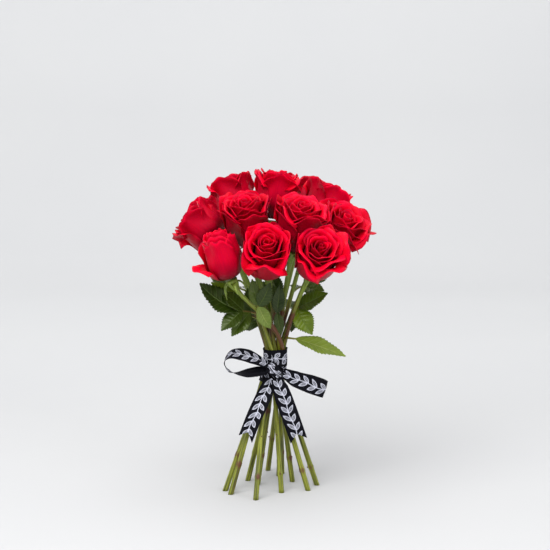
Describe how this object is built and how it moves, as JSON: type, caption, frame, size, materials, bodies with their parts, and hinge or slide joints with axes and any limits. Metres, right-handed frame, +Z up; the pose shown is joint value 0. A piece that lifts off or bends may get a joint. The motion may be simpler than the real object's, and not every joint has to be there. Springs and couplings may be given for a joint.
{
  "type": "bunch of roses",
  "caption": "Bunch of red roses hand-tied in a spiral, standing unheld on splayed cut stems, with toothed leaves and a patterned black ribbon tied in a bow round the binding",
  "frame": {"origin": "on the surface that the cut stems stand on, under the middle of the bunch's outline", "axes": "+Z up, -Y towards the side shown in the picture, where the bow is tied, +X to that side's right"},
  "size_m": [0.2164, 0.21, 0.3463],
  "materials": {
    "petal": "velvety fresh petal",
    "stem": "smooth green bark",
    "leaf": "glossy fresh leaf",
    "ribbon": "matt woven ribbon, printed"
  },
  "bodies": {
    "root": {"bloom_01": "petal", "bloom_02": "petal", "bloom_03": "petal", "bloom_04": "petal", "bloom_05": "petal", "bloom_06": "petal", "bloom_07": "petal", "bloom_08": "petal", "bloom_09": "petal", "bloom_10": "petal", "bloom_11": "petal", "bloom_12": "petal", "stem_01": "stem", "stem_02": "stem", "stem_03": "stem", "stem_04": "stem", "stem_05": "stem", "stem_06": "stem", "stem_07": "stem", "stem_08": "stem", "stem_09": "stem", "stem_10": "stem", "stem_11": "stem", "stem_12": "stem", "leaf_left_front": "leaf", "leaf_left_back": "leaf", "leaf_front": "leaf", "leaf_centre": "leaf", "leaf_inner": "leaf", "leaf_right": "leaf", "leaf_right_low": "leaf", "leaf_back_right": "leaf", "leaf_back_left": "leaf", "leaf_back": "leaf", "leaf_middle": "leaf", "ribbon_band": "ribbon", "ribbon_knot": "ribbon", "ribbon_loop_left": "ribbon", "ribbon_loop_right": "ribbon", "ribbon_tail_left": "ribbon", "ribbon_tail_right": "ribbon"}
  },
  "joints": []
}
